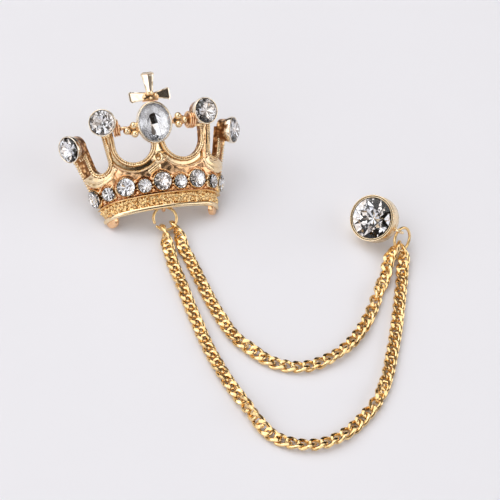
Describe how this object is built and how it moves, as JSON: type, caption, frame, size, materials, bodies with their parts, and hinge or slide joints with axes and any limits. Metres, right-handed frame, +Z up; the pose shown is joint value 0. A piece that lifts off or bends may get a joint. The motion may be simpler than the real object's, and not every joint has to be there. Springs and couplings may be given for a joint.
{
  "type": "lapel brooch",
  "caption": "Gold crown lapel brooch set with clear stones, joined by two curb chains to a round stone-set stud pin.",
  "frame": {"origin": "middle of the footprint, on the surface that the brooch lies on", "axes": "+Z up from the surface, +Y from the chains' bend towards the crown, +X from the crown towards the stud pin"},
  "size_m": [0.08, 0.0964, 0.0263],
  "materials": {
    "gold": "polished gold plate",
    "chain_gold": "polished gold plate",
    "pin_gold": "plain gold plate",
    "stones": "clear faceted stone"
  },
  "bodies": {
    "root": {"crown": "gold", "pin_back": "pin_gold", "oval_stone": "stones", "finial_stone_1": "stones", "finial_stone_2": "stones", "finial_stone_3": "stones", "finial_stone_4": "stones", "band_stone_1": "stones", "band_stone_2": "stones", "band_stone_3": "stones", "band_stone_4": "stones", "band_stone_5": "stones", "band_stone_6": "stones", "band_stone_7": "stones", "band_stone_8": "stones", "band_stone_9": "stones", "crown_ring": "chain_gold", "chain_outer": "chain_gold", "chain_inner": "chain_gold", "stud_ring": "chain_gold", "stud_cup": "gold", "stud_stone": "stones", "stud_post": "pin_gold"}
  },
  "joints": []
}
